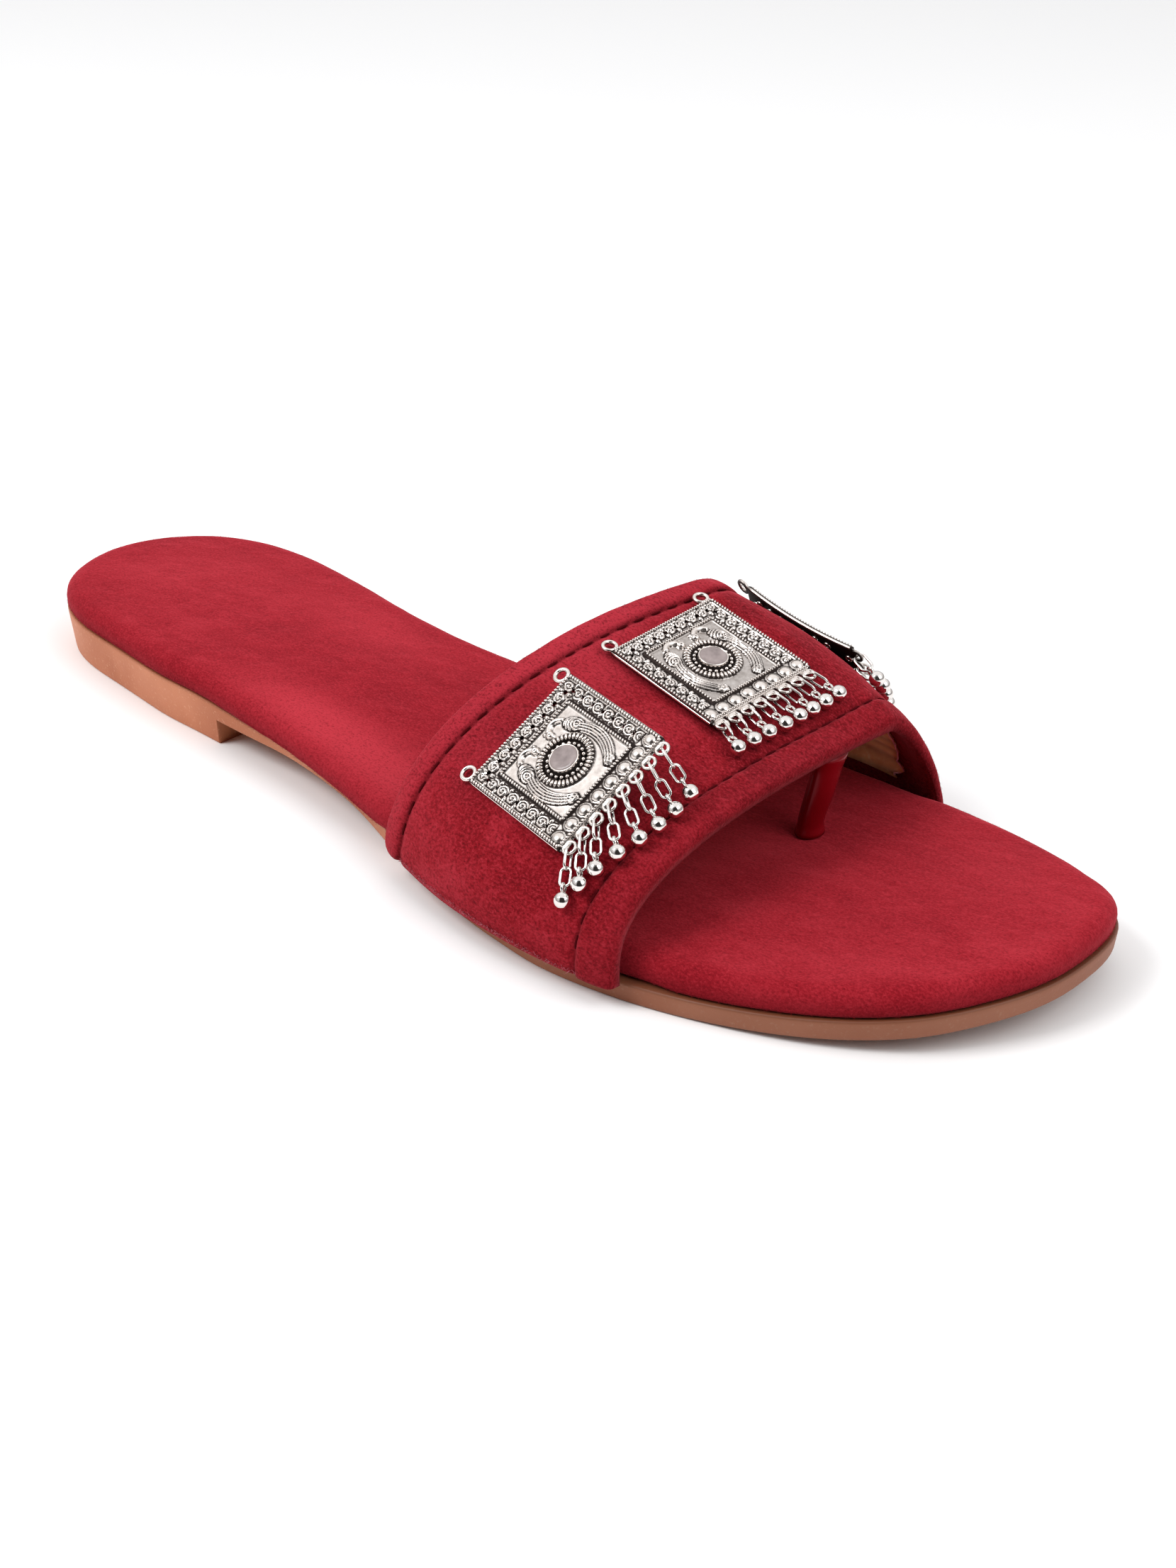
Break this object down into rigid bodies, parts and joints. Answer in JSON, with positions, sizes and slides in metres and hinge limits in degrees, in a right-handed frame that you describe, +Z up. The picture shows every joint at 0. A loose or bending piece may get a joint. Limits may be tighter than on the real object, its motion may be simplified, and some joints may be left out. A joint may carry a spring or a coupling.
{
  "type": "flat slide sandal",
  "caption": "Right flat slide sandal: one wide velvet strap with a toe post, carrying square cast plates with hanging bells, on a padded footbed and low-heeled moulded sole.",
  "frame": {"origin": "on the floor, under the middle of the sandal's box", "axes": "+X from heel to toe, +Y to the inner (medial, big-toe) side of the right foot, +Z up"},
  "size_m": [0.2498, 0.0963, 0.0415],
  "materials": {
    "moulded_sole": "tan moulded sole, satin",
    "footbed_velvet": "crimson velvet",
    "strap_velvet": "crimson velvet with a tan leatherette lining",
    "post": "dark red, glossy",
    "cast_plate": "cast silver-coloured metal, darkened in the recesses",
    "bell": "bright silver-coloured metal, polished"
  },
  "bodies": {
    "sandal": {"outsole": "moulded_sole", "footbed": "footbed_velvet", "strap": "strap_velvet", "toe_post": "post", "plate_lateral": "cast_plate", "plate_middle": "cast_plate", "plate_medial": "cast_plate"},
    "bell_lateral_1": {"bell_lateral_1": "bell"},
    "bell_lateral_2": {"bell_lateral_2": "bell"},
    "bell_lateral_3": {"bell_lateral_3": "bell"},
    "bell_lateral_4": {"bell_lateral_4": "bell"},
    "bell_lateral_5": {"bell_lateral_5": "bell"},
    "bell_lateral_6": {"bell_lateral_6": "bell"},
    "bell_lateral_7": {"bell_lateral_7": "bell"},
    "bell_lateral_8": {"bell_lateral_8": "bell"},
    "bell_middle_1": {"bell_middle_1": "bell"},
    "bell_middle_2": {"bell_middle_2": "bell"},
    "bell_middle_3": {"bell_middle_3": "bell"},
    "bell_middle_4": {"bell_middle_4": "bell"},
    "bell_middle_5": {"bell_middle_5": "bell"},
    "bell_middle_6": {"bell_middle_6": "bell"},
    "bell_middle_7": {"bell_middle_7": "bell"},
    "bell_middle_8": {"bell_middle_8": "bell"},
    "bell_medial_1": {"bell_medial_1": "bell"},
    "bell_medial_2": {"bell_medial_2": "bell"},
    "bell_medial_3": {"bell_medial_3": "bell"},
    "bell_medial_4": {"bell_medial_4": "bell"},
    "bell_medial_5": {"bell_medial_5": "bell"},
    "bell_medial_6": {"bell_medial_6": "bell"},
    "bell_medial_7": {"bell_medial_7": "bell"},
    "bell_medial_8": {"bell_medial_8": "bell"}
  },
  "joints": [
    {"name": "bell_lateral_1_swing", "type": "hinge", "parent": "sandal", "child": "bell_lateral_1", "pos_m": [0.05401, -0.04075, 0.02217], "axis": [-0.9117, -0.3237, -0.253], "range_deg": [0, 31]},
    {"name": "bell_lateral_2_swing", "type": "hinge", "parent": "sandal", "child": "bell_lateral_2", "pos_m": [0.05462, -0.03819, 0.02405], "axis": [-0.8638, -0.3993, -0.3073], "range_deg": [0, 31]},
    {"name": "bell_lateral_3_swing", "type": "hinge", "parent": "sandal", "child": "bell_lateral_3", "pos_m": [0.05522, -0.03564, 0.02592], "axis": [-0.8266, -0.4473, -0.3416], "range_deg": [0, 30]},
    {"name": "bell_lateral_4_swing", "type": "hinge", "parent": "sandal", "child": "bell_lateral_4", "pos_m": [0.05582, -0.03308, 0.0278], "axis": [-0.7284, -0.547, -0.4126], "range_deg": [0, 30]},
    {"name": "bell_lateral_5_swing", "type": "hinge", "parent": "sandal", "child": "bell_lateral_5", "pos_m": [0.05642, -0.03053, 0.02967], "axis": [-0.6395, -0.6154, -0.4608], "range_deg": [0, 37]},
    {"name": "bell_lateral_6_swing", "type": "hinge", "parent": "sandal", "child": "bell_lateral_6", "pos_m": [0.05702, -0.02798, 0.03155], "axis": [-0.5843, -0.6504, -0.4854], "range_deg": [0, 44]},
    {"name": "bell_lateral_7_swing", "type": "hinge", "parent": "sandal", "child": "bell_lateral_7", "pos_m": [0.05763, -0.02542, 0.03342], "axis": [-0.541, -0.6746, -0.5022], "range_deg": [0, 44]},
    {"name": "bell_lateral_8_swing", "type": "hinge", "parent": "sandal", "child": "bell_lateral_8", "pos_m": [0.05823, -0.02287, 0.0353], "axis": [-0.481, -0.7039, -0.5226], "range_deg": [0, 44]},
    {"name": "bell_middle_1_swing", "type": "hinge", "parent": "sandal", "child": "bell_middle_1", "pos_m": [0.05547, -0.00335, 0.03185], "axis": [-0.4065, -0.9131, -0.0322], "range_deg": [0, 24]},
    {"name": "bell_middle_2_swing", "type": "hinge", "parent": "sandal", "child": "bell_middle_2", "pos_m": [0.05572, -0.00016, 0.03223], "axis": [-0.3115, -0.9485, -0.0583], "range_deg": [0, 25]},
    {"name": "bell_middle_3_swing", "type": "hinge", "parent": "sandal", "child": "bell_middle_3", "pos_m": [0.05598, 0.00303, 0.0326], "axis": [-0.2297, -0.97, -0.0796], "range_deg": [0, 27]},
    {"name": "bell_middle_4_swing", "type": "hinge", "parent": "sandal", "child": "bell_middle_4", "pos_m": [0.05623, 0.00623, 0.03298], "axis": [-0.0784, -0.9901, -0.1162], "range_deg": [0, 29]},
    {"name": "bell_middle_5_swing", "type": "hinge", "parent": "sandal", "child": "bell_middle_5", "pos_m": [0.05648, 0.00942, 0.03335], "axis": [0.0237, -0.99, -0.1391], "range_deg": [0, 32]},
    {"name": "bell_middle_6_swing", "type": "hinge", "parent": "sandal", "child": "bell_middle_6", "pos_m": [0.05674, 0.01261, 0.03373], "axis": [0.0747, -0.9859, -0.15], "range_deg": [0, 34]},
    {"name": "bell_middle_7_swing", "type": "hinge", "parent": "sandal", "child": "bell_middle_7", "pos_m": [0.05699, 0.01581, 0.0341], "axis": [0.1256, -0.979, -0.1604], "range_deg": [0, 35]},
    {"name": "bell_middle_8_swing", "type": "hinge", "parent": "sandal", "child": "bell_middle_8", "pos_m": [0.05724, 0.019, 0.03448], "axis": [0.1928, -0.9657, -0.1737], "range_deg": [0, 35]},
    {"name": "bell_medial_1_swing", "type": "hinge", "parent": "sandal", "child": "bell_medial_1", "pos_m": [0.05627, 0.03538, 0.03251], "axis": [0.2385, -0.5, 0.8326], "range_deg": [0, 41]},
    {"name": "bell_medial_2_swing", "type": "hinge", "parent": "sandal", "child": "bell_medial_2", "pos_m": [0.05572, 0.037, 0.02978], "axis": [0.2553, -0.4992, 0.828], "range_deg": [0, 30]},
    {"name": "bell_medial_3_swing", "type": "hinge", "parent": "sandal", "child": "bell_medial_3", "pos_m": [0.05517, 0.03861, 0.02704], "axis": [0.2721, -0.4983, 0.8232], "range_deg": [0, 17]},
    {"name": "bell_medial_4_swing", "type": "hinge", "parent": "sandal", "child": "bell_medial_4", "pos_m": [0.05462, 0.04023, 0.0243], "axis": [0.2887, -0.4972, 0.8182], "range_deg": [0, 17]},
    {"name": "bell_medial_5_swing", "type": "hinge", "parent": "sandal", "child": "bell_medial_5", "pos_m": [0.05407, 0.04185, 0.02157], "axis": [0.3053, -0.496, 0.8129], "range_deg": [0, 26]},
    {"name": "bell_medial_6_swing", "type": "hinge", "parent": "sandal", "child": "bell_medial_6", "pos_m": [0.05352, 0.04347, 0.01883], "axis": [0.3218, -0.4947, 0.8073], "range_deg": [0, 31]},
    {"name": "bell_medial_7_swing", "type": "hinge", "parent": "sandal", "child": "bell_medial_7", "pos_m": [0.05297, 0.04508, 0.0161], "axis": [0.3382, -0.4931, 0.8015], "range_deg": [0, 39]},
    {"name": "bell_medial_8_swing", "type": "hinge", "parent": "sandal", "child": "bell_medial_8", "pos_m": [0.05242, 0.0467, 0.01336], "axis": [0.3868, -0.4877, 0.7827], "range_deg": [0, 44]}
  ]
}
